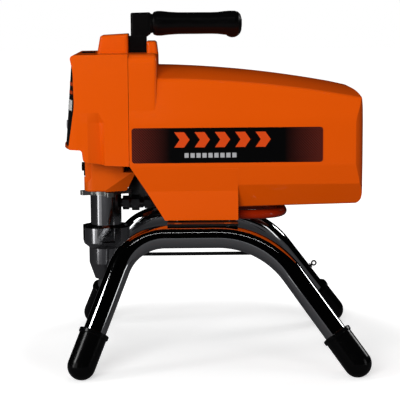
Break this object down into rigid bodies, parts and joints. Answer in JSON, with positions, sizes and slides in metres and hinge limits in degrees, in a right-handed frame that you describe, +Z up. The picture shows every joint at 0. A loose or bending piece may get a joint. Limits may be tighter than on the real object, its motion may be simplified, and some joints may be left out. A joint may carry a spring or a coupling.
{
  "type": "airless paint sprayer",
  "caption": "Electric airless paint sprayer: geared motor and piston pump under orange covers, carrying handle, filter and whip hose, on a chromed tube stand.",
  "frame": {"origin": "on the ground under the middle of the object's length and width", "axes": "+X towards the motor end (the pump and panel face -X), +Z up, +Y the side with the pressure knob and spray hose outlet"},
  "size_m": [0.408, 0.3564, 0.4666],
  "materials": {
    "chrome_tube": "polished chrome plate, dark reflections",
    "boot_rubber": "moulded rubber, satin",
    "black_steel": "satin black enamel",
    "orange_shell": "gloss orange paint with fine orange peel",
    "orange_cast": "gloss orange paint on a casting",
    "badge_black": "printed film, satin",
    "zinc_steel": "zinc plated fasteners",
    "black_plastic": "moulded plastic, fine grain",
    "panel_black": "satin moulded panel",
    "display_glass": "pale display window",
    "button_grey": "soft key",
    "board_green": "solder resist",
    "grip_black": "soft grip, semi-gloss",
    "bare_cast": "as-cast aluminium",
    "gear_steel": "ground gear steel, oiled",
    "motor_steel": "grey-black enamel",
    "copper_wire": "enamelled winding wire",
    "core_steel": "laminated core",
    "fan_plastic": "moulded fan",
    "pump_steel": "dark polished pump steel",
    "rod_chrome": "hard chrome",
    "packing": "packing material",
    "carbide": "lapped ball",
    "hose_orange": "gloss hose jacket",
    "filter_black": "black enamel",
    "filter_mesh": "filter cage",
    "fitting_steel": "blackened fitting"
  },
  "bodies": {
    "machine": {"hoop_near": "chrome_tube", "hoop_far": "chrome_tube", "boots": "boot_rubber", "tie_rod": "black_steel", "pan": "black_steel", "stand_bolts": "zinc_steel", "motor_cradle": "bare_cast", "motor_cover": "orange_shell", "badges": "badge_black", "cord_gland": "black_plastic", "front_cover": "orange_shell", "front_panel": "panel_black", "display_window": "display_glass", "control_board": "board_green", "switch_frame": "black_plastic", "handle_post": "black_plastic", "handle_grip": "grip_black", "drive_casting": "orange_cast", "gear_case": "bare_cast", "motor_flange": "bare_cast", "screws": "zinc_steel", "ball_bearings": "gear_steel", "motor_can": "motor_steel", "motor_end_bell": "bare_cast", "stator_core": "core_steel", "windings": "copper_wire", "upper_cylinder": "pump_steel", "throat_packing": "packing", "packing_nut": "zinc_steel", "ring_nut": "zinc_steel", "pump_block": "pump_steel", "inlet_housing": "pump_steel", "inlet_seat": "carbide", "outlet_fitting": "fitting_steel", "hose": "hose_orange", "hose_ends": "fitting_steel", "filter_manifold": "filter_black", "filter_bowl": "filter_black", "filter_element": "filter_mesh", "gun_nipple": "zinc_steel", "prime_valve": "fitting_steel", "pressure_sensor": "zinc_steel", "rod_guard": "black_plastic"},
    "rotor": {"rotor_shaft": "gear_steel", "rotor_core": "core_steel", "fan": "fan_plastic"},
    "intermediate": {"intermediate_gear": "gear_steel"},
    "crank": {"crank_gear": "gear_steel", "crank_shaft": "gear_steel"},
    "plunger": {"pump_rod": "rod_chrome", "piston_seals": "packing", "wrist_pin": "gear_steel"},
    "rod": {"connecting_rod": "gear_steel"},
    "upper_ball": {"piston_ball": "carbide"},
    "lower_ball": {"inlet_ball": "carbide"},
    "rocker": {"switch_rocker": "black_plastic"},
    "knob": {"pressure_knob": "black_plastic"},
    "lever": {"prime_lever": "black_plastic"},
    "key_near": {"button_near": "button_grey"},
    "key_far": {"button_far": "button_grey"}
  },
  "joints": [
    {"name": "rotor_spin", "type": "hinge", "parent": "machine", "child": "rotor", "pos_m": [0, 0, 0.3], "axis": [1, 0, 0], "continuous": true},
    {"name": "intermediate_spin", "type": "hinge", "parent": "machine", "child": "intermediate", "pos_m": [-0.11, 0.03297, 0.27736], "axis": [1, 0, 0], "continuous": true},
    {"name": "crank_spin", "type": "hinge", "parent": "machine", "child": "crank", "pos_m": [-0.12, 0, 0.322], "axis": [1, 0, 0], "continuous": true},
    {"name": "plunger_stroke", "type": "slide", "parent": "machine", "child": "plunger", "axis": [0, 0, -1], "range_m": [0, 0.022]},
    {"name": "rod_swing", "type": "hinge", "parent": "plunger", "child": "rod", "pos_m": [-0.1511, 0, 0.272], "axis": [1, 0, 0], "range_deg": [-10.4, 10.4]},
    {"name": "upper_ball_lift", "type": "slide", "parent": "plunger", "child": "upper_ball", "axis": [0, 0, 1], "range_m": [0, 0.0025]},
    {"name": "lower_ball_lift", "type": "slide", "parent": "machine", "child": "lower_ball", "axis": [0, 0, 1], "range_m": [0, 0.0025]},
    {"name": "switch_tilt", "type": "hinge", "parent": "machine", "child": "rocker", "pos_m": [-0.171, 0, 0.4085], "axis": [1, 0, 0], "range_deg": [0, 14]},
    {"name": "pressure_turn", "type": "hinge", "parent": "machine", "child": "knob", "pos_m": [-0.14, 0.09, 0.372], "axis": [0, 1, 0], "range_deg": [-135, 135]},
    {"name": "prime_turn", "type": "hinge", "parent": "machine", "child": "lever", "pos_m": [-0.075, 0.085, 0.227], "axis": [0, 1, 0], "range_deg": [0, 90]},
    {"name": "key_near_press", "type": "slide", "parent": "machine", "child": "key_near", "axis": [1, 0, 0], "range_m": [0, 0.0007], "stiffness_N_per_m": 600},
    {"name": "key_far_press", "type": "slide", "parent": "machine", "child": "key_far", "axis": [1, 0, 0], "range_m": [0, 0.0007], "stiffness_N_per_m": 600}
  ],
  "couplings": [
    {"joint": "intermediate_spin", "follows": "rotor_spin", "ratio": -0.23077},
    {"joint": "crank_spin", "follows": "rotor_spin", "ratio": 0.053846}
  ]
}
